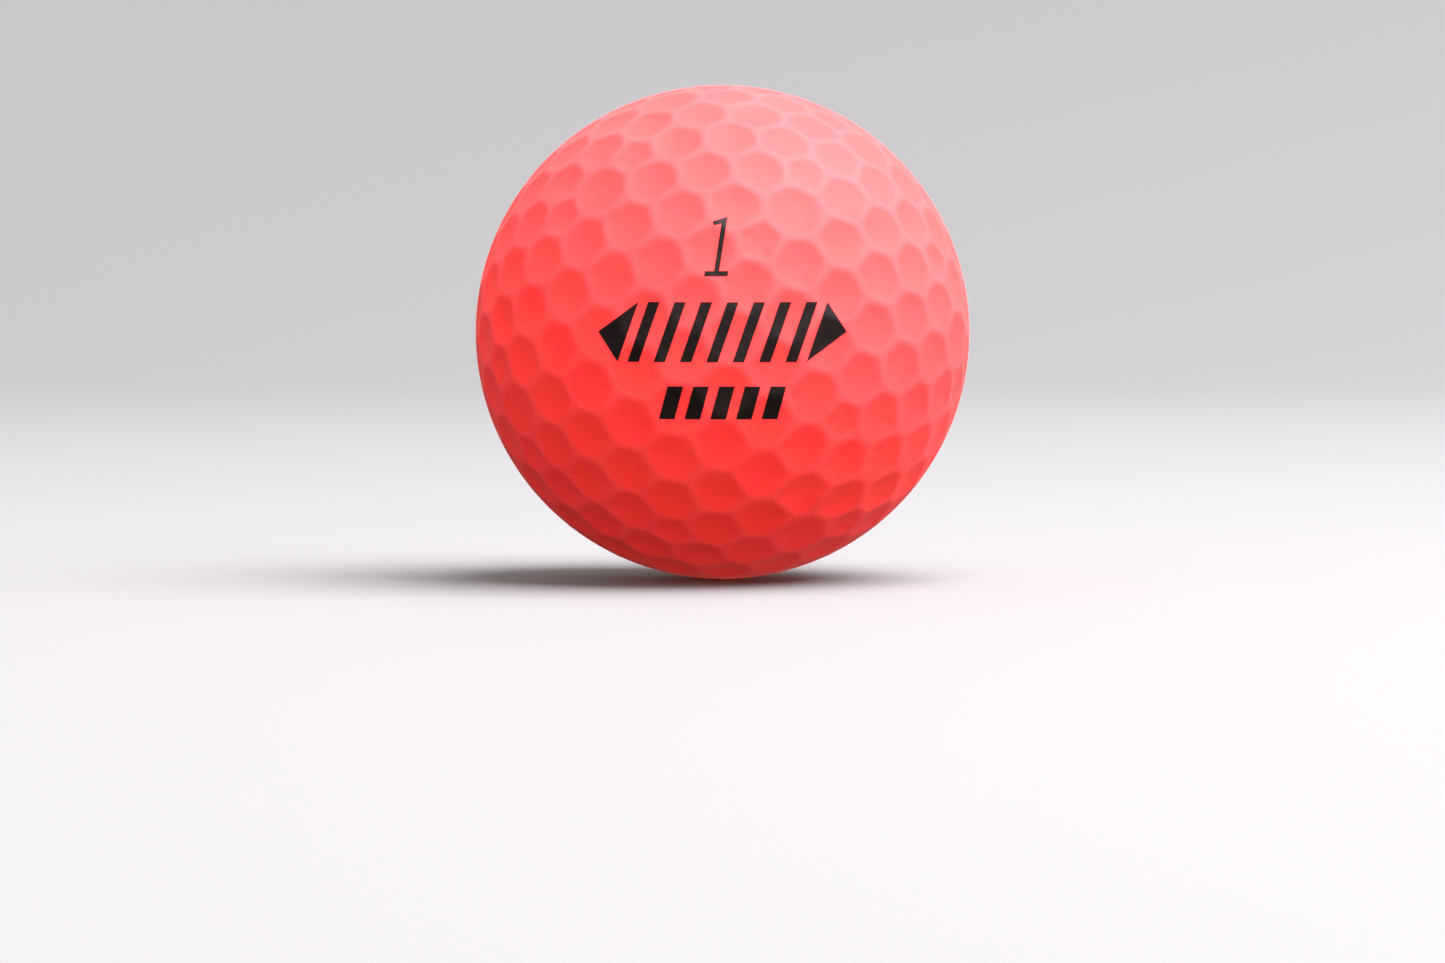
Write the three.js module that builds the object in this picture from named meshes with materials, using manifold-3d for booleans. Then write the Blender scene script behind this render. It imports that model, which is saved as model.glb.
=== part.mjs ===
// A three-piece golf ball: a solid inner core, an outer core pressed round it from two half shells, a
// dimpled cover moulded from two cups that meet at the seam, and the pad-printed marks on both poles.
// Millimetres. The origin is the centre of the ball and +Z is up. The seam lies in the plane y = 0, and
// the printed poles face -Y (front) and +Y (rear).

import * as THREE from 'three';
import { ConvexHull } from 'three/addons/math/ConvexHull.js';
import { mergeVertices } from 'three/addons/utils/BufferGeometryUtils.js';
import Module from 'manifold-3d';

// Driving dimensions
const BALL_RADIUS = 42.67 / 2;
const COVER_THICKNESS = 1.7;
const INNER_CORE_RADIUS = 13;
const DIMPLES_PER_HALF = 158;
const DIMPLE_DEPTH = 0.24;

// Dimple sizes, as shares of the common size: smaller with five neighbours, larger with seven
const SMALL_DIMPLE = 0.8;
const LARGE_DIMPLE = 1.1;
const SEAM_CLEARANCE = 0.56; // from a dimple's centre to the seam, as a share of the pitch
const SEAM_LAND = 0.4; // the undimpled band on each side of the seam
const LAYOUT_SEED = 10096;
const LAYOUT_TURN = THREE.MathUtils.degToRad(254);

// The layers inside the cover
const CORE_SECTORS = 36;
const CORE_BANDS = 9; // from the seam to a pole

// The print: a play number above a long row of slanted bars between two arrowheads, and a short row below.
// Each has its own height, the height z of its middle, and its lean to the right per unit of height.
const INK_THICKNESS = 0.04;
const INK_CLEARANCE = 0.01;
const NUMBER = { x: -0.17, z: 7.6, height: 4.93, lean: 0.155, stem: 0.43, foot: 1.96, footHeight: 0.42 };
const FLAG = { fall: 0.38, height: 0.31 }; // at the top of the play number
const LONG_ROW = { z: 0.47, height: 5.0, lean: 0.35, bars: 7, barWidth: 0.95, pitch: 2.2 };
const ARROWHEAD = { tip: 10.4, base: 7.9 }; // how far to each side of the long row's middle
const SHORT_ROW = { z: -5.45, height: 2.75, lean: 0.27, bars: 5, barWidth: 1.3, pitch: 2.15 };

const wasm = await Module();
wasm.setup();

const coralCover = { color: 0xff4a52, roughness: 0.55, metalness: 0 };
const greyRubber = { color: 0xb9bcc0, roughness: 0.8, metalness: 0 };
const blueRubber = { color: 0x2c5f9e, roughness: 0.8, metalness: 0 };
const blackInk = { color: 0x17100f, roughness: 0.5, metalness: 0 };

const ball = new THREE.Group();

function addPiece(name, geometry, finish) {
  const mesh = new THREE.Mesh(geometry, new THREE.MeshStandardMaterial(finish));
  mesh.name = name;
  ball.add(mesh);
}

// ---- Dimple layout -------------------------------------------------------------------------------------

// The middle distance between neighbours when the dimples cover the unit sphere evenly
const pitch = Math.sqrt((4 * Math.PI) / DIMPLES_PER_HALF / Math.sqrt(3));

// A repeatable source of numbers from 0 to 1
function numberSource(seed) {
  let state = (seed * 2654435761) >>> 0;
  return () => {
    state = (Math.imul(state, 1664525) + 1013904223) >>> 0;
    return state / 4294967296;
  };
}

// The rear half is the front half turned by half a turn about X, as both cups come from one kind of mould
const turnedToRear = (v) => new THREE.Vector3(v.x, -v.y, -v.z);

// Points on the front half of the unit sphere along a spiral from the pole to the seam, each moved a little
function spiralStart() {
  const next = numberSource(LAYOUT_SEED);
  const goldenAngle = Math.PI * (3 - Math.sqrt(5));
  const spread = 0.25;
  const nearestToSeam = 0.07;
  return Array.from({ length: DIMPLES_PER_HALF }, (_, i) => {
    const towardsPole = 1 - ((i + 0.5) / DIMPLES_PER_HALF) * (1 - 0.45 * pitch);
    const ring = Math.sqrt(1 - towardsPole ** 2);
    const centre = new THREE.Vector3(
      -ring * Math.cos(goldenAngle * i) - (next() - 0.5) * spread,
      -towardsPole + (next() - 0.5) * spread,
      ring * Math.sin(goldenAngle * i) + (next() - 0.5) * spread,
    ).normalize();
    centre.y = Math.min(centre.y, -nearestToSeam);
    return { centre, size: 1 };
  });
}

// One dimple's push away from its neighbours, steep enough that all pitches end up much alike
function pushOn(dimple, others) {
  const push = new THREE.Vector3();
  const away = new THREE.Vector3();
  for (const other of others) {
    away.subVectors(dimple.centre, other.centre);
    const squared = away.lengthSq();
    const wanted = (pitch * (dimple.size + other.size)) / 2;
    if (squared === 0 || squared > 3.2 * wanted ** 2) continue;
    push.addScaledVector(away, (wanted ** 2 / squared) ** 3 / Math.sqrt(squared));
  }
  return push.clampLength(0, 1);
}

// Moves the dimples apart, and keeps each one clear of the seam
function relax(dimples, rounds, firstStep) {
  for (let round = 0; round < rounds; round++) {
    const step = 0.12 * firstStep * (1 - (0.8 * round) / rounds) * pitch;
    const rear = dimples.map(({ centre, size }) => ({ centre: turnedToRear(centre), size }));
    const pushes = dimples.map((dimple) => pushOn(dimple, dimples.concat(rear)));
    dimples.forEach(({ centre, size }, i) => {
      centre.addScaledVector(pushes[i], step).normalize();
      const limit = -Math.sin(pitch * SEAM_CLEARANCE * size);
      if (centre.y > limit) {
        const stretch = Math.sqrt(1 - limit ** 2) / Math.hypot(centre.x, centre.z);
        centre.set(centre.x * stretch, limit, centre.z * stretch);
      }
    });
  }
}

// The faces of the hull round some points, each as the indices of its three corners
function hullFaces(points) {
  const index = new Map(points.map((point, i) => [point, i]));
  return new ConvexHull().setFromPoints(points).faces.map((face) => [
    index.get(face.edge.prev.head().point),
    index.get(face.edge.head().point),
    index.get(face.edge.next.head().point),
  ]);
}

// Gives each dimple its size from how many neighbours it has
function sizeByNeighbours(dimples) {
  const centres = dimples.map(({ centre }) => centre);
  const neighbours = centres.map(() => new Set());
  for (const face of hullFaces(centres.concat(centres.map(turnedToRear)))) {
    for (const corner of face) {
      if (corner < dimples.length) face.forEach((other) => neighbours[corner].add(other));
    }
  }
  dimples.forEach((dimple, i) => {
    const count = neighbours[i].size - 1;
    dimple.size = count <= 5 ? SMALL_DIMPLE : count >= 7 ? LARGE_DIMPLE : 1;
  });
}

function frontDimples() {
  const dimples = spiralStart();
  relax(dimples, 300, 0.5);
  sizeByNeighbours(dimples);
  relax(dimples, 200, 0.4);
  sizeByNeighbours(dimples);
  relax(dimples, 200, 0.3);
  const up = new THREE.Vector3(0, 1, 0);
  dimples.forEach(({ centre }) => centre.applyAxisAngle(up, LAYOUT_TURN));
  return dimples;
}

// ---- Cover ---------------------------------------------------------------------------------------------

// The corners of every dimple's cell, in order round it. The cells split the sphere between dimples by
// their sizes; the dimples' mirror images across the seam make the cells end exactly at the seam.
function dimpleCells(dimples) {
  const reach = ({ centre, size }) => centre.clone().divideScalar(Math.cos((pitch * size) / 2));
  const points = dimples.map(reach);
  const mirrored = points.map((point) => point.clone().setY(-point.y));
  const cells = dimples.map(() => []);
  const all = points.concat(mirrored);
  for (const face of hullFaces(all)) {
    const [a, b, c] = face.map((i) => all[i]);
    const corner = new THREE.Vector3().subVectors(b, a).cross(c.clone().sub(a)).normalize();
    if (Math.abs(corner.y) < 1e-6) corner.setY(0).normalize();
    face.filter((i) => i < dimples.length).forEach((i) => cells[i].push(corner));
  }
  return cells.map((corners, i) => inOrder(corners, dimples[i].centre));
}

// Corners sorted counter-clockwise round a centre, seen from outside, without doubles
function inOrder(corners, centre) {
  const across = new THREE.Vector3(0.3, 0.2, 1).cross(centre).normalize();
  const along = new THREE.Vector3().crossVectors(centre, across);
  const angle = (corner) => Math.atan2(corner.dot(along), corner.dot(across));
  const sorted = corners.slice().sort((a, b) => angle(a) - angle(b));
  return sorted.filter((corner, i) => corner.distanceTo(sorted[(i + 1) % sorted.length]) > 0.002);
}

// A point on the ball's full radius towards a cell's edge, which stops short of the seam
function edgePoint(direction) {
  const point = direction.clone().setLength(BALL_RADIUS);
  return point.y > -SEAM_LAND ? alongSeam(point, -SEAM_LAND) : point;
}

// The point of the full radius at a height y, level with a point near the seam
function alongSeam(point, y) {
  const ring = Math.sqrt(BALL_RADIUS ** 2 - y ** 2) / Math.hypot(point.x, point.z);
  return new THREE.Vector3(point.x * ring, y, point.z * ring);
}

// The outside of the front cup: each cell has its dimple's bottom, a ring half-way up, and its edge, whose
// corners and edge middles lie on the ball's full radius. A plain band joins the last cells to the seam.
function dimpledTriangles(dimples) {
  const ringPlace = 0.55; // from the dimple's centre to a corner of its cell
  const ringDepth = 0.6; // of the full depth
  const triangles = [];
  const cells = dimpleCells(dimples);
  dimples.forEach(({ centre, size }, i) => {
    const corners = cells[i];
    const depth = DIMPLE_DEPTH * size;
    const bottom = centre.clone().multiplyScalar(BALL_RADIUS - depth);
    const ring = corners.map((corner) =>
      centre.clone().lerp(corner, ringPlace).setLength(BALL_RADIUS - depth * ringDepth),
    );
    const top = corners.map(edgePoint);
    const middle = corners.map((corner, k) =>
      edgePoint(corner.clone().add(corners[(k + 1) % corners.length])),
    );
    corners.forEach((_, k) => {
      const next = (k + 1) % corners.length;
      triangles.push([bottom, ring[k], ring[next]], [ring[k], top[k], middle[k]]);
      triangles.push([ring[k], middle[k], ring[next]], [ring[next], middle[k], top[next]]);
      if (middle[k].y === -SEAM_LAND) {
        for (const [a, b] of [[top[k], middle[k]], [middle[k], top[next]]]) {
          const [c, d] = [alongSeam(b, 0), alongSeam(a, 0)];
          triangles.push([a, d, c], [a, c, b]);
        }
      }
    });
  });
  return triangles;
}

// The triangles of a hemisphere on the -Y side, facing outwards, with its rim exactly at y = 0
function hemisphereTriangles(radius) {
  const point = (sector, band) => {
    const around = (2 * Math.PI * (sector % CORE_SECTORS)) / CORE_SECTORS;
    const down = (0.5 * Math.PI * band) / CORE_BANDS;
    const ring = band === CORE_BANDS ? 0 : radius * Math.cos(down);
    return new THREE.Vector3(ring * Math.cos(around), -radius * Math.sin(down), ring * Math.sin(around));
  };
  const triangles = [];
  for (let band = 0; band < CORE_BANDS; band++) {
    for (let sector = 0; sector < CORE_SECTORS; sector++) {
      const [a, b] = [point(sector, band), point(sector + 1, band)];
      const [c, d] = [point(sector + 1, band + 1), point(sector, band + 1)];
      triangles.push([a, b, c]);
      if (band < CORE_BANDS - 1) triangles.push([a, c, d]);
    }
  }
  return triangles;
}

// The flat ring in the seam plane between a shell's outer and inner rims, facing +Y
function seamTriangles(outer, inner) {
  const rim = (triangles) => {
    const points = new Map();
    triangles.flat().forEach((v) => {
      if (v.y === 0) points.set(`${v.x.toFixed(5)} ${v.z.toFixed(5)}`, v);
    });
    return [...points.values()].sort((a, b) => Math.atan2(a.x, a.z) - Math.atan2(b.x, b.z));
  };
  const flat = (v) => new THREE.Vector2(v.z, v.x);
  const outside = rim(outer);
  const inside = rim(inner);
  const points = outside.concat(inside);
  const faces = THREE.ShapeUtils.triangulateShape(outside.map(flat), [inside.map(flat)]);
  return faces.map((face) => face.map((i) => points[i]));
}

const insideOut = (triangles) => triangles.map(([a, b, c]) => [a, c, b]);
const toRear = (triangles) => triangles.map((triangle) => triangle.map(turnedToRear));
const toFarSide = (triangles) =>
  insideOut(triangles.map((triangle) => triangle.map((v) => v.clone().setY(-v.y))));

function geometryOf(triangles) {
  const geometry = new THREE.BufferGeometry().setFromPoints(triangles.flat());
  const merged = mergeVertices(geometry, 1e-5);
  merged.computeVertexNormals();
  return merged;
}

// A half shell on the -Y side: outside, inside and the ring at the seam
function halfShell(outer, innerRadius) {
  const inner = hemisphereTriangles(innerRadius);
  return [...outer, ...insideOut(inner), ...seamTriangles(outer, inner)];
}

const coverInnerRadius = BALL_RADIUS - COVER_THICKNESS;

function addCover() {
  const front = halfShell(dimpledTriangles(frontDimples()), coverInnerRadius);
  const halves = { front: geometryOf(front), rear: geometryOf(toRear(front)) };
  addPiece('cover_front_half', halves.front, coralCover);
  addPiece('cover_rear_half', halves.rear, coralCover);
  return halves;
}

// ---- Core ----------------------------------------------------------------------------------------------

function addCore() {
  const shell = halfShell(hemisphereTriangles(coverInnerRadius), INNER_CORE_RADIUS);
  addPiece('outer_core_front_half', geometryOf(shell), greyRubber);
  addPiece('outer_core_rear_half', geometryOf(toFarSide(shell)), greyRubber);
  const hemisphere = hemisphereTriangles(INNER_CORE_RADIUS);
  addPiece('inner_core', geometryOf([...hemisphere, ...toFarSide(hemisphere)]), blueRubber);
}

// ---- Print ---------------------------------------------------------------------------------------------

function solidOf(geometry) {
  const bare = geometry.clone();
  bare.deleteAttribute('normal');
  bare.deleteAttribute('uv');
  const merged = mergeVertices(bare, 1e-5);
  return new wasm.Manifold(
    new wasm.Mesh({
      numProp: 3,
      vertProperties: new Float32Array(merged.attributes.position.array),
      triVerts: new Uint32Array(merged.index.array),
    }),
  );
}

function geometryOfSolid(solid) {
  const mesh = solid.getMesh();
  const geometry = new THREE.BufferGeometry();
  geometry.setAttribute('position', new THREE.BufferAttribute(new Float32Array(mesh.vertProperties), 3));
  geometry.setIndex(new THREE.BufferAttribute(new Uint32Array(mesh.triVerts), 1));
  geometry.computeVertexNormals();
  return geometry;
}

// A closed outline through points given as [x, z] from a mark's middle, with the mark's lean
function leaningShape(points, middle, { z, lean }) {
  return new THREE.Shape(points.map(([x, up]) => new THREE.Vector2(middle + x + up * lean, z + up)));
}

// The figure one: a stem on a foot, with a short flag that falls to the left from the stem's top
function figureOne() {
  const [w, s, top] = [NUMBER.foot / 2, NUMBER.stem / 2, NUMBER.height / 2];
  const footTop = NUMBER.footHeight - top;
  const flagTop = top - FLAG.fall;
  const outline = [[-w, -top], [w, -top], [w, footTop], [s, footTop], [s, top]];
  outline.push([-w, flagTop], [-0.85 * w, flagTop - FLAG.height], [-s, top - 1.8 * FLAG.height]);
  outline.push([-s, footTop], [-w, footTop]);
  return leaningShape(outline, NUMBER.x, NUMBER);
}

// The bars of a row, from left to right
function barShapes(row) {
  const [w, h] = [row.barWidth / 2, row.height / 2];
  const places = Array.from({ length: row.bars }, (_, i) => (i - (row.bars - 1) / 2) * row.pitch);
  return places.map((x) => leaningShape([[-w, -h], [w, -h], [w, h], [-w, h]], x, row));
}

// An arrowhead at the left (-1) or right (1) end of the long row
function arrowhead(side) {
  const h = LONG_ROW.height / 2;
  const corners = [[side * ARROWHEAD.tip, 0], [side * ARROWHEAD.base, h], [side * ARROWHEAD.base, -h]];
  return leaningShape(side > 0 ? corners : corners.reverse(), 0, LONG_ROW);
}

function printShapes() {
  const shapes = { play_number: figureOne(), arrow_left: arrowhead(-1), arrow_right: arrowhead(1) };
  for (const [name, row] of [['long_row_bar', LONG_ROW], ['short_row_bar', SHORT_ROW]]) {
    barShapes(row).forEach((shape, i) => (shapes[`${name}_${i + 1}`] = shape));
  }
  return shapes;
}

// Each mark is a thin film that follows the dimpled surface of its cover half
function addPrint(side, cover, turn) {
  const scaled = (gap) => solidOf(cover).scale(1 + gap / BALL_RADIUS);
  const film = scaled(INK_CLEARANCE + INK_THICKNESS).subtract(scaled(INK_CLEARANCE));
  for (const [name, shape] of Object.entries(printShapes())) {
    const prism = new THREE.ExtrudeGeometry(shape, { depth: BALL_RADIUS + 5, bevelEnabled: false });
    prism.rotateX(Math.PI / 2).rotateZ(turn);
    addPiece(`${name}_${side}`, geometryOfSolid(film.intersect(solidOf(prism))), blackInk);
  }
}

const cover = addCover();
addCore();
addPrint('front', cover.front, 0);
addPrint('rear', cover.rear, Math.PI);

export default ball;
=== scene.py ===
"""The looks of the golf ball: its dimpled cover, the printed marks, and the rubber layers inside."""

import math

import bmesh
import bpy
import numpy as np
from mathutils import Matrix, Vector


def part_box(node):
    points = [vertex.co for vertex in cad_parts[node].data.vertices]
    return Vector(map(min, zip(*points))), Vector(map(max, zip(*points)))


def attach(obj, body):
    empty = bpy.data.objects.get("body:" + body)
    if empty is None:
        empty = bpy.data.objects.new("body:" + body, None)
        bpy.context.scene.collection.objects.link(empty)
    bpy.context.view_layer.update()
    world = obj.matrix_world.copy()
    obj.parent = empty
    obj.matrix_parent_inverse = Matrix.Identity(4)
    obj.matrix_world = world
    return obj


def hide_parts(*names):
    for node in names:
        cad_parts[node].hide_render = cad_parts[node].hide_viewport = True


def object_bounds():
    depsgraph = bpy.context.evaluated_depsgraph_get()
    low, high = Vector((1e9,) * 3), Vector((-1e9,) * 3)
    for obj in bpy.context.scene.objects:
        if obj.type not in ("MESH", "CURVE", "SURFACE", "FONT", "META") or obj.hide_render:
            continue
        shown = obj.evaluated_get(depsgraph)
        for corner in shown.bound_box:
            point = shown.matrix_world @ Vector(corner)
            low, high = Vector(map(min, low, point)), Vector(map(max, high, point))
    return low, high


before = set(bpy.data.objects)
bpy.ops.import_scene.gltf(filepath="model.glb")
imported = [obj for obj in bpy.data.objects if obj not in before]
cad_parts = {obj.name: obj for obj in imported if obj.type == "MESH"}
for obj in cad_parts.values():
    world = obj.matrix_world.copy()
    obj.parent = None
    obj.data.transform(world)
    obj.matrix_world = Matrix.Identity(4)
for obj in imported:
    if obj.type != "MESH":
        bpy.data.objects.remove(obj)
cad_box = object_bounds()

MM = 0.001

# The dimples' shape. A dimple's cell runs about half-way to its neighbours
DIMPLE_RIM = 0.91  # where the dimple ends and the land begins, from its centre to the edge of its cell
RIM_ROUNDING = 0.16  # how softly the dimple rolls over into the land
CORNER_POWER = 8  # low for round dimples, high for dimples with the corners of their cells
SEAM_LAND = 0.4 * MM  # the undimpled band on each side of the seam
SEAM_DROP = 0.012 * MM  # the buffed parting line lies this far below the land
SEAM_WIDTH = 0.16 * MM

# A CAD point between these depths below the full radius is the bottom of a dimple
BOTTOM_LEAST = 0.175 * MM
BOTTOM_MOST = 0.6 * MM
NEIGHBOURS = 1.7  # how far off the dimples are that can wall a cell, in pitches

# Rings of mesh from a pole to the seam. The first two are whole multiples of the third
COVER_RINGS = 176
CORE_RINGS = 66
INSIDE_RINGS = 22
SECTORS = 6
SHARP_EDGE = math.radians(50)
SAME_POINT = 1e-7  # points closer than this are one

# The print: thin films of ink that follow the dimples
INK_LIFT = 0.006 * MM  # from the cover to the underside of the film
INK_THICKNESS = 0.02 * MM
INK_STEP = 0.16 * MM  # the mesh size of a film
LEAN = {"play_number": 0.155, "arrow": 0.35, "long_row_bar": 0.35, "short_row_bar": 0.27}

# The play number's own shape
STEM = 0.43 * MM
FOOT_HEIGHT = 0.42 * MM
FLAG_FALL = 0.38 * MM
FLAG_HEIGHT = 0.31 * MM
FLAG_TIP = 0.85  # where the flag's lower corner is, from the stem to the foot's end
FLAG_ROOT = 1.8  # how far below the stem's top the flag meets it, in heights of the flag


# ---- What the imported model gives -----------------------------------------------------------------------


def node_points(name):
    """A CAD node's vertices, each once."""
    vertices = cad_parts[name].data.vertices
    flat = np.empty(3 * len(vertices), np.float32)
    vertices.foreach_get("co", flat)
    return np.unique(flat.reshape(-1, 3).astype(float).round(7), axis=0)


def front_dimples():
    """The centres of the front half's dimples as unit vectors, and their depths."""
    points = node_points("cover_front_half")
    radius = np.linalg.norm(points, axis=1)
    depth = radius.max() - radius
    bottoms = (depth > BOTTOM_LEAST) & (depth < BOTTOM_MOST)
    return points[bottoms] / radius[bottoms, None], depth[bottoms]


def radius_of(name):
    return np.linalg.norm(node_points(name), axis=1).max()


BALL_RADIUS = radius_of("cover_front_half")
COVER_INNER_RADIUS = radius_of("outer_core_front_half")
INNER_CORE_RADIUS = radius_of("inner_core")
CENTRES, DEPTHS = front_dimples()
PITCH = math.sqrt(4 * math.pi / len(CENTRES) / math.sqrt(3))
REACH = PITCH / 2 * DEPTHS / np.median(DEPTHS)  # half of the angle that each dimple's cell takes


# ---- The dimpled surface of the front half -------------------------------------------------------------


def cell_walls(i):
    """Tangent directions from dimple i towards the walls of its cell, and how far off each wall is."""
    mirrored = CENTRES * [1, -1, 1]
    centres = np.vstack([CENTRES, mirrored])
    reach = np.concatenate([REACH, REACH])
    centre = CENTRES[i]
    angle = np.arccos(np.clip(centres @ centre, -1, 1))
    near = (angle > 1e-4) & (angle < NEIGHBOURS * PITCH)
    angle, reach = angle[near], reach[near]
    towards = centres[near] - (centres[near] @ centre)[:, None] * centre
    towards /= np.linalg.norm(towards, axis=1)[:, None]
    wall = (angle**2 + REACH[i] ** 2 - reach**2) / (2 * angle)
    return towards, np.tan(wall)


def cell_place(i, directions):
    """How far out in the cell of dimple i each direction is: 0 at its centre, 1 at the middle of a wall."""
    centre = CENTRES[i]
    flat = directions / (directions @ centre)[:, None] - centre
    towards, wall = cell_walls(i)
    share = np.maximum(flat @ towards.T / wall, 0)
    return (share**CORNER_POWER).sum(1) ** (1 / CORNER_POWER)


def dimple_drop(place):
    """The share of the full depth at a place in a cell: a bowl with a rounded edge."""
    bowl = 1 - (place / DIMPLE_RIM) ** 2
    return (bowl + np.sqrt(bowl**2 + RIM_ROUNDING**2)) / 2


def surface_drop(directions):
    """How far below the full radius the cover's surface lies in each direction of the front half."""
    owner = np.zeros(len(directions), int)
    nearest = np.full(len(directions), 9.0)
    for i, centre in enumerate(CENTRES):
        angle = np.arccos(np.clip(directions @ centre, -1, 1))
        power = angle**2 - REACH[i] ** 2
        closer = power < nearest
        owner[closer] = i
        nearest[closer] = power[closer]
    drop = np.zeros(len(directions))
    for i in np.unique(owner):
        own = owner == i
        drop[own] = DEPTHS[i] * dimple_drop(cell_place(i, directions[own]))
    from_seam = -directions[:, 1] * BALL_RADIUS
    past_land = np.clip(from_seam / SEAM_LAND - 0.5, 0, 1)
    drop *= past_land**2 * (3 - 2 * past_land)
    return drop + SEAM_DROP * np.exp(-((from_seam / SEAM_WIDTH) ** 2))


def surface_radius(directions):
    return BALL_RADIUS - surface_drop(directions)


# ---- Meshes --------------------------------------------------------------------------------------------


def hemisphere(rings):
    """Unit directions in rings from the -Y pole to the seam, and the triangles between them."""
    directions = [[0.0, -1.0, 0.0]]
    triangles = []
    start = [0]
    for ring in range(1, rings + 1):
        start.append(len(directions))
        down = math.pi / 2 * ring / rings
        round_angles = 2 * math.pi * np.arange(SECTORS * ring) / (SECTORS * ring)
        height = 0.0 if ring == rings else -math.cos(down)
        for a in round_angles:
            directions.append([math.sin(down) * math.cos(a), height, math.sin(down) * math.sin(a)])
        outer = lambda n: start[ring] + n % (SECTORS * ring)
        inner = lambda n: start[ring - 1] + n % max(SECTORS * (ring - 1), 1)
        for sector in range(SECTORS):
            for j in range(ring):
                a, c = sector * ring + j, sector * (ring - 1) + j
                triangles.append((inner(c), outer(a), outer(a + 1)))
                if j < ring - 1:
                    triangles.append((inner(c), outer(a + 1), inner(c + 1)))
    return np.array(directions), np.array(triangles)


def half_shell(outer_radius, outer_rings, inner_radius):
    """Points and triangles of a closed half shell on the -Y side. outer_radius is a function of direction."""
    out_dirs, out_tris = hemisphere(outer_rings)
    in_dirs, in_tris = hemisphere(INSIDE_RINGS)
    points = np.vstack([out_dirs * outer_radius(out_dirs)[:, None], in_dirs * inner_radius])
    rim = SECTORS * outer_rings
    step = outer_rings // INSIDE_RINGS
    outer = lambda n: len(out_dirs) - rim + n % rim
    inner = lambda n: len(points) - rim // step + n % (rim // step)
    seam = []
    for i in range(rim // step):
        seam += [(outer(j + 1), outer(j), inner(i)) for j in range(step * i, step * (i + 1))]
        seam.append((outer(step * (i + 1)), inner(i), inner(i + 1)))
    return points, np.vstack([out_tris, in_tris[:, ::-1] + len(out_dirs), seam])


def turned(points):
    """Points turned by half a turn about X, from the front half to the rear half."""
    return points * [1, -1, -1]


def add_piece(name, points, faces, material, nodes):
    """A smooth mesh object that rides on the ball in place of CAD nodes."""
    mesh = bpy.data.meshes.new(name)
    mesh.from_pydata(points.tolist(), [], faces.tolist() if hasattr(faces, "tolist") else faces)
    mesh.validate()
    mesh.shade_smooth()
    mesh.set_sharp_from_angle(angle=SHARP_EDGE)
    mesh.materials.append(material)
    piece = bpy.data.objects.new(name, mesh)
    bpy.context.scene.collection.objects.link(piece)
    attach(piece, "root")
    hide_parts(*nodes)
    return piece


# ---- Materials -----------------------------------------------------------------------------------------


def new_material(name):
    material = bpy.data.materials.new(name)
    material.use_nodes = True
    nodes = material.node_tree.nodes
    return material, nodes, material.node_tree.links, nodes["Principled BSDF"]


def noise(nodes, links, scale, detail=3.0):
    """Noise in the object's own coordinates, with scale in cycles to the metre."""
    place = nodes.new("ShaderNodeTexCoord")
    texture = nodes.new("ShaderNodeTexNoise")
    texture.inputs["Scale"].default_value = scale
    texture.inputs["Detail"].default_value = detail
    links.new(place.outputs["Object"], texture.inputs["Vector"])
    return texture.outputs["Fac"]


def ramp(nodes, links, factor, low, high):
    """A colour between low and high over the middle of a factor's range."""
    colours = nodes.new("ShaderNodeValToRGB")
    colours.color_ramp.elements[0].position = 0.35
    colours.color_ramp.elements[0].color = (*low, 1)
    colours.color_ramp.elements[1].position = 0.65
    colours.color_ramp.elements[1].color = (*high, 1)
    links.new(factor, colours.inputs["Fac"])
    return colours.outputs["Color"]


def bump(nodes, links, height, depth, shader):
    relief = nodes.new("ShaderNodeBump")
    relief.inputs["Strength"].default_value = 1.0
    relief.inputs["Distance"].default_value = depth
    links.new(height, relief.inputs["Height"])
    links.new(relief.outputs["Normal"], shader.inputs["Normal"])


def coral_cover():
    """Fluorescent coral plastic, darker in the dimples and a little paler on the lands: painted shade in the
    dimples and painted light on the lands.
    """
    material, nodes, links, shader = new_material("coral_cover")
    mottle = noise(nodes, links, 160, 2.0)
    # The deep colour is painted shade for the dimples and the pale colour is painted light for the lands,
    # mixed by the land share
    deep = ramp(nodes, links, mottle, (1.0, 0.037, 0.036), (1.0, 0.043, 0.042))
    pale = ramp(nodes, links, mottle, (1.0, 0.050, 0.053), (1.0, 0.057, 0.060))
    land_painted_light = nodes.new("ShaderNodeAttribute")
    land_painted_light.attribute_name = "land_painted_light"
    colour = nodes.new("ShaderNodeMix")
    colour.data_type = "RGBA"
    links.new(land_painted_light.outputs["Fac"], colour.inputs["Factor"])
    links.new(deep, colour.inputs["A"])
    links.new(pale, colour.inputs["B"])
    links.new(colour.outputs["Result"], shader.inputs["Base Color"])
    shader.inputs["Roughness"].default_value = 0.72
    shader.inputs["Specular IOR Level"].default_value = 0.25
    shader.inputs["Subsurface Weight"].default_value = 0.15
    shader.inputs["Subsurface Radius"].default_value = (1.0, 0.25, 0.2)
    shader.inputs["Subsurface Scale"].default_value = 0.4 * MM
    shader.inputs["Sheen Weight"].default_value = 0.01
    shader.inputs["Sheen Roughness"].default_value = 0.5
    # A painted glow: the faint red emission stands in for the real plastic's fluorescence and lifts the red
    # in the shaded lower side, lamp or no lamp
    shader.inputs["Emission Color"].default_value = (1.0, 0.004, 0.004, 1)
    shader.inputs["Emission Strength"].default_value = 0.09
    bump(nodes, links, noise(nodes, links, 5000, 4.0), 0.002 * MM, shader)
    return material


def rubber(name, low, high, grain):
    material, nodes, links, shader = new_material(name)
    colour = ramp(nodes, links, noise(nodes, links, 900, 5.0), low, high)
    links.new(colour, shader.inputs["Base Color"])
    shader.inputs["Roughness"].default_value = 0.75
    bump(nodes, links, noise(nodes, links, 2500, 5.0), grain, shader)
    return material


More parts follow.
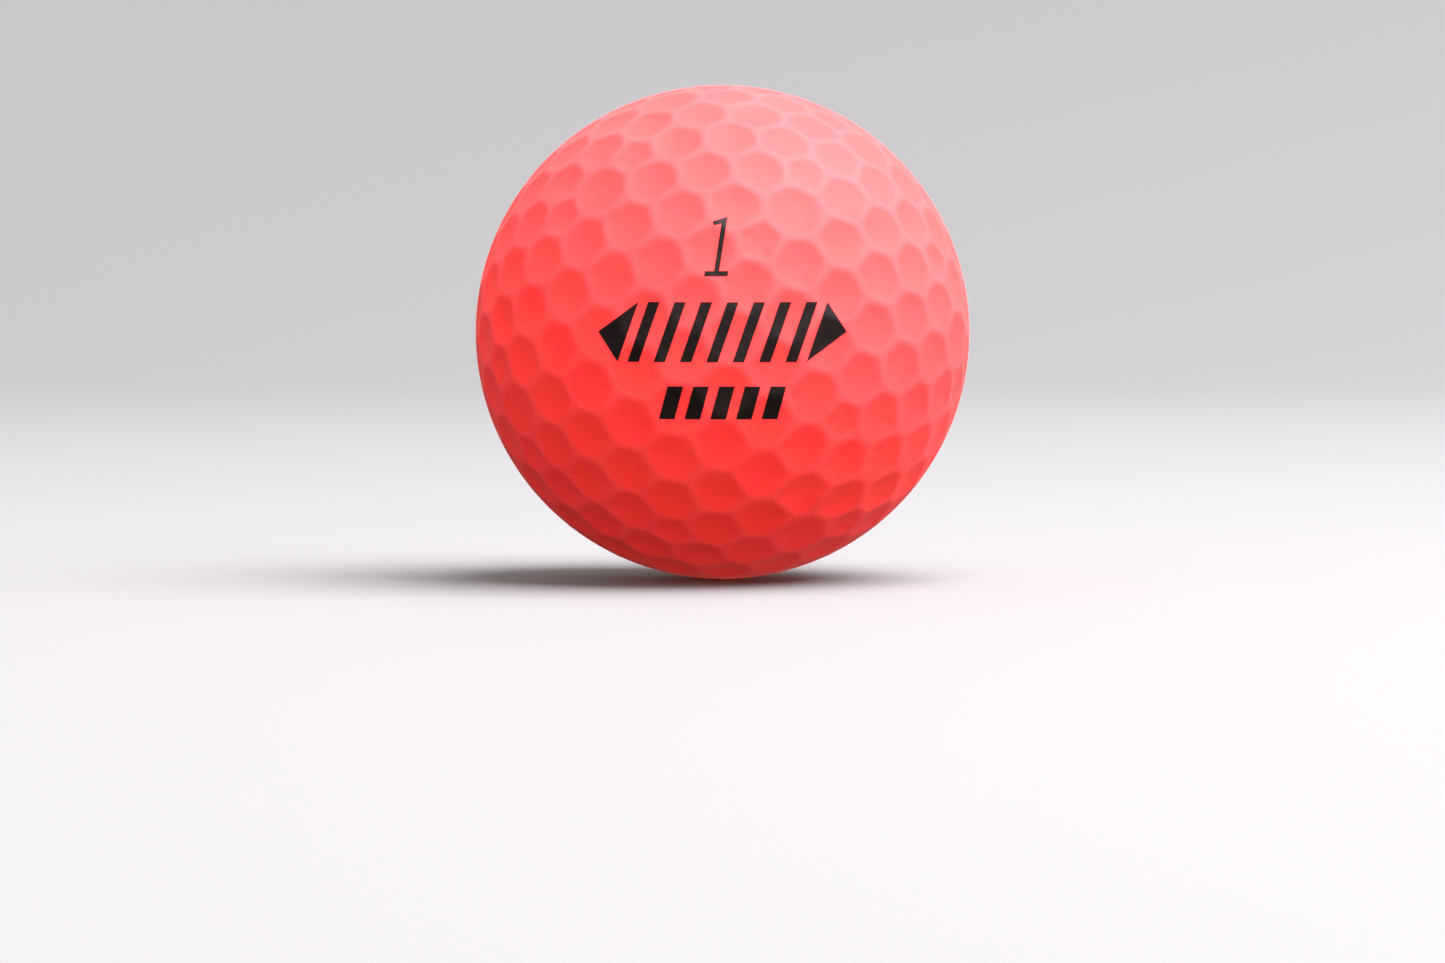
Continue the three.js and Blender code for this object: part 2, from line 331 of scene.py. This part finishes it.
def black_ink():
    material, nodes, links, shader = new_material("black_ink")
    speckle = noise(nodes, links, 4000, 4.0)
    black = ramp(nodes, links, speckle, (0.004, 0.002, 0.002), (0.010, 0.005, 0.005))
    links.new(black, shader.inputs["Base Color"])
    shader.inputs["Roughness"].default_value = 0.55
    shader.inputs["Specular IOR Level"].default_value = 0.1
    bump(nodes, links, noise(nodes, links, 6000, 3.0), 0.002 * MM, shader)
    return material


# ---- The pieces ----------------------------------------------------------------------------------------


def add_cover():
    coral = coral_cover()
    points, faces = half_shell(surface_radius, COVER_RINGS, COVER_INNER_RADIUS)
    # The lands are painted paler than the dimples, from two thirds of the way up the dimples' sides: painted
    # light on the lands and painted shade in the dimples
    height = np.linalg.norm(points, axis=1) - (BALL_RADIUS - np.median(DEPTHS))
    land_painted_light = np.clip(3 * height / np.median(DEPTHS) - 2, 0, 1)
    for side, place in (("front", points), ("rear", turned(points))):
        cup = add_piece(f"cover_cup_{side}", place, faces, coral, [f"cover_{side}_half"])
        cup.data.attributes.new("land_painted_light", "FLOAT", "POINT").data.foreach_set("value", land_painted_light)


def add_core():
    grey = rubber("grey_rubber", (0.40, 0.41, 0.42), (0.52, 0.53, 0.55), 0.02 * MM)
    blue = rubber("blue_rubber", (0.035, 0.10, 0.28), (0.06, 0.15, 0.38), 0.02 * MM)
    ball = lambda radius: lambda directions: np.full(len(directions), radius)
    points, faces = half_shell(ball(COVER_INNER_RADIUS), CORE_RINGS, INNER_CORE_RADIUS)
    add_piece("outer_core_cup_front", points, faces, grey, ["outer_core_front_half"])
    add_piece("outer_core_cup_rear", turned(points), faces, grey, ["outer_core_rear_half"])
    directions, triangles = hemisphere(CORE_RINGS)
    points = directions * INNER_CORE_RADIUS
    both = np.vstack([points, turned(points)])
    all_triangles = np.vstack([triangles, triangles + len(points)])
    inner = add_piece("core_sphere", both, all_triangles, blue, ["inner_core"])
    merged = bmesh.new()
    merged.from_mesh(inner.data)
    bmesh.ops.remove_doubles(merged, verts=merged.verts, dist=SAME_POINT)
    merged.to_mesh(inner.data)
    merged.free()


# ---- The print -----------------------------------------------------------------------------------------


def bar_outline(left, right, low, high, lean):
    """A bar that leans to the right, as (across, up) points, counter-clockwise seen from outside."""
    shift = lean * (high - low)
    return [(left, low), (right - shift, low), (right, high), (left + shift, high)]


def arrow_outline(left, right, low, high, lean, points_right):
    """An arrowhead at an end of the long row, which leans to the right as the bars do."""
    shift = lean * (high - low)
    middle = (low + high) / 2
    if points_right:
        return [(left, low), (right, middle), (left + shift, high)]
    return [(left, middle), (right - shift, low), (right, high)]


def number_outline(left, right, low, high, lean):
    """The figure one: a stem on a foot, with a short flag that falls to the left from the stem's top."""
    half_height = (high - low) / 2
    stem = STEM / 2
    # The box's left side is the foot's lower corner, and its right side is the foot's upper corner
    middle = (left + right + lean * (high - low - FOOT_HEIGHT)) / 2
    foot = (right - left - lean * FOOT_HEIGHT) / 2
    foot_top = FOOT_HEIGHT - half_height
    flag_top = half_height - FLAG_FALL
    points = [(-foot, -half_height), (foot, -half_height), (foot, foot_top)]
    points += [(stem, foot_top), (stem, half_height)]
    points += [(-foot, flag_top), (-FLAG_TIP * foot, flag_top - FLAG_HEIGHT)]
    points += [(-stem, half_height - FLAG_ROOT * FLAG_HEIGHT), (-stem, foot_top), (-foot, foot_top)]
    return [(middle + x + up * lean, low + half_height + up) for x, up in points]


def mark_outline(name, side):
    """A printed mark's outline, from the box of its CAD node. side is 1 on the front and -1 on the rear."""
    low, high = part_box(name)
    left, right = sorted((side * low[0], side * high[0]))
    lean = next(value for kind, value in LEAN.items() if name.startswith(kind))
    place = (left, right, low[2], high[2], lean)
    if name.startswith("play_number"):
        return number_outline(*place)
    if name.startswith("arrow"):
        return arrow_outline(*place, name.startswith("arrow_right"))
    return bar_outline(*place)


def film_mesh(outline):
    """The outline filled with small triangles: flat points, the triangles, and the edges of the outline."""
    flat = bmesh.new()
    flat.faces.new([flat.verts.new((x, 0, z)) for x, z in outline])
    for axis in (0, 2):
        places = [point[axis // 2] for point in outline]
        for cut in np.arange(min(places) + INK_STEP, max(places), INK_STEP):
            geometry = flat.verts[:] + flat.edges[:] + flat.faces[:]
            plane = [0, 0, 0]
            plane[axis] = cut
            normal = [0, 0, 0]
            normal[axis] = 1
            bmesh.ops.bisect_plane(flat, geom=geometry, dist=SAME_POINT, plane_co=plane, plane_no=normal)
    bmesh.ops.triangulate(flat, faces=flat.faces[:])
    points = np.array([tuple(v.co) for v in flat.verts])
    flat.verts.index_update()
    triangles = np.array([[v.index for v in face.verts] for face in flat.faces])
    rim = []
    for edge in flat.edges:
        if len(edge.link_faces) == 1:
            loop = edge.link_loops[0]
            rim.append((loop.vert.index, loop.link_loop_next.vert.index))
    flat.free()
    return points, triangles, rim


def on_cover(points, side, lift):
    """Flat points moved along Y onto the cover of the front (side 1) or rear (-1), and lifted off it."""
    radius = np.full(len(points), BALL_RADIUS)
    across, up = points[:, 0], points[:, 2]
    for _ in range(4):
        out = np.sqrt(radius**2 - across**2 - up**2)
        directions = np.column_stack([across, -out, up]) / radius[:, None]
        like_front = directions if side > 0 else directions * [-1, 1, -1]
        radius = surface_radius(like_front) + lift
    return directions * radius[:, None] * [side, side, 1]


def add_mark(name, ink):
    side = 1 if name.endswith("_front") else -1
    flat, triangles, rim = film_mesh(mark_outline(name, side))
    top = on_cover(flat, side, INK_LIFT + INK_THICKNESS)
    bottom = on_cover(flat, side, INK_LIFT)
    n = len(flat)
    faces = triangles.tolist() + (triangles[:, ::-1] + n).tolist()
    for a, b in rim:
        faces += [(a, a + n, b + n), (a, b + n, b)]
    add_piece(f"{name}_print", np.vstack([top, bottom]), faces, ink, [name])


def add_print():
    ink = black_ink()
    for name in sorted(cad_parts):
        if name.startswith(tuple(LEAN)):
            add_mark(name, ink)


# ---- Floor, light and camera ---------------------------------------------------------------------------


def add_backdrop():
    """A round pale floor that sweeps up into a wall all round. It takes shadows and lights nothing."""
    floor_level = cad_box[0].z
    run, bend, wall_top, sides = 0.55, 0.35, 1.4, 96
    profile = [(0.1, 0.0), (run, 0.0)]
    quarter_turn = np.linspace(0, math.pi / 2, 25)[1:]
    profile += [(run + bend * math.sin(a), bend * (1 - math.cos(a))) for a in quarter_turn]
    profile.append((run + bend, wall_top))
    turns = [2 * math.pi * i / sides for i in range(sides)]
    points = [(0, 0, floor_level)]
    points += [(r * math.cos(t), r * math.sin(t), z + floor_level) for r, z in profile for t in turns]
    at = lambda ring, i: 1 + ring * sides + i % sides
    faces = [(0, at(0, i), at(0, i + 1)) for i in range(sides)]
    for ring in range(len(profile) - 1):
        faces += [(at(ring, i), at(ring + 1, i), at(ring + 1, i + 1), at(ring, i + 1)) for i in range(sides)]
    mesh = bpy.data.meshes.new("backdrop")
    mesh.from_pydata(points, [], faces)
    mesh.shade_smooth()
    material, _, _, shader = new_material("pale_paper")
    shader.inputs["Base Color"].default_value = (0.14, 0.14, 0.138, 1)
    shader.inputs["Roughness"].default_value = 0.9
    mesh.materials.append(material)
    backdrop = bpy.data.objects.new("backdrop", mesh)
    bpy.context.scene.collection.objects.link(backdrop)
    backdrop.visible_diffuse = False
    backdrop.visible_glossy = False
    backdrop.visible_shadow = False


def add_light(name, place, size, power, colour):
    light = bpy.data.lights.new(name, "AREA")
    light.size = size
    light.energy = power
    light.color = colour
    lamp = bpy.data.objects.new(name, light)
    lamp.location = place
    lamp.rotation_euler = (-Vector(place)).to_track_quat("-Z", "Y").to_euler()
    bpy.context.scene.collection.objects.link(lamp)


def add_lights():
    """A sky that is bright above and dark below, a big soft light above, and two weak ones at the sides."""
    add_light("key", (0.42, -0.11, 0.83), 1.0, 61.0, (1.0, 0.97, 1.03))
    add_light("side", (-0.80, -0.25, 0.30), 0.5, 0.9, (0.85, 0.78, 1.0))
    add_light("front", (-0.05, -0.90, -0.02), 0.3, 4.0, (1.0, 0.92, 0.86))
    world = bpy.data.worlds.new("studio")
    world.use_nodes = True
    nodes, links = world.node_tree.nodes, world.node_tree.links
    place = nodes.new("ShaderNodeTexCoord")
    facing = nodes.new("ShaderNodeVectorMath")
    facing.operation = "DOT_PRODUCT"
    facing.inputs[1].default_value = Vector((0.45, 0.10, 0.90)).normalized()
    share = nodes.new("ShaderNodeMapRange")
    share.inputs["From Min"].default_value = -1.0
    share.inputs["From Max"].default_value = 1.0
    colours = nodes.new("ShaderNodeValToRGB")
    colours.color_ramp.elements[0].color = (0.02, 0.015, 0.0, 1)
    colours.color_ramp.elements[1].color = (1.0, 1.0, 1.0, 1)
    for position, colour in ((0.30, (0.05, 0.04, 0.01, 1)), (0.46, (0.64, 0.60, 0.58, 1))):
        colours.color_ramp.elements.new(position).color = colour
    links.new(place.outputs["Generated"], facing.inputs[0])
    links.new(facing.outputs["Value"], share.inputs["Value"])
    links.new(share.outputs["Result"], colours.inputs["Fac"])
    links.new(colours.outputs["Color"], nodes["Background"].inputs["Color"])
    nodes["Background"].inputs["Strength"].default_value = 1.3
    bpy.context.scene.world = world


def add_camera():
    """Level with the ball and far off, with the ball above the middle of the picture."""
    camera = bpy.data.cameras.new("camera")
    camera.lens = 164.2
    camera.sensor_width = 36
    eye = bpy.data.objects.new("camera", camera)
    eye.location = (0, -0.57, 0.012)
    target = Vector((0, 0, -0.0129))
    eye.rotation_euler = (target - eye.location).to_track_quat("-Z", "Y").to_euler()
    bpy.context.scene.collection.objects.link(eye)
    bpy.context.scene.camera = eye


add_cover()
add_core()
add_print()
add_backdrop()
add_lights()
add_camera()
bpy.context.scene.view_settings.view_transform = "Standard"
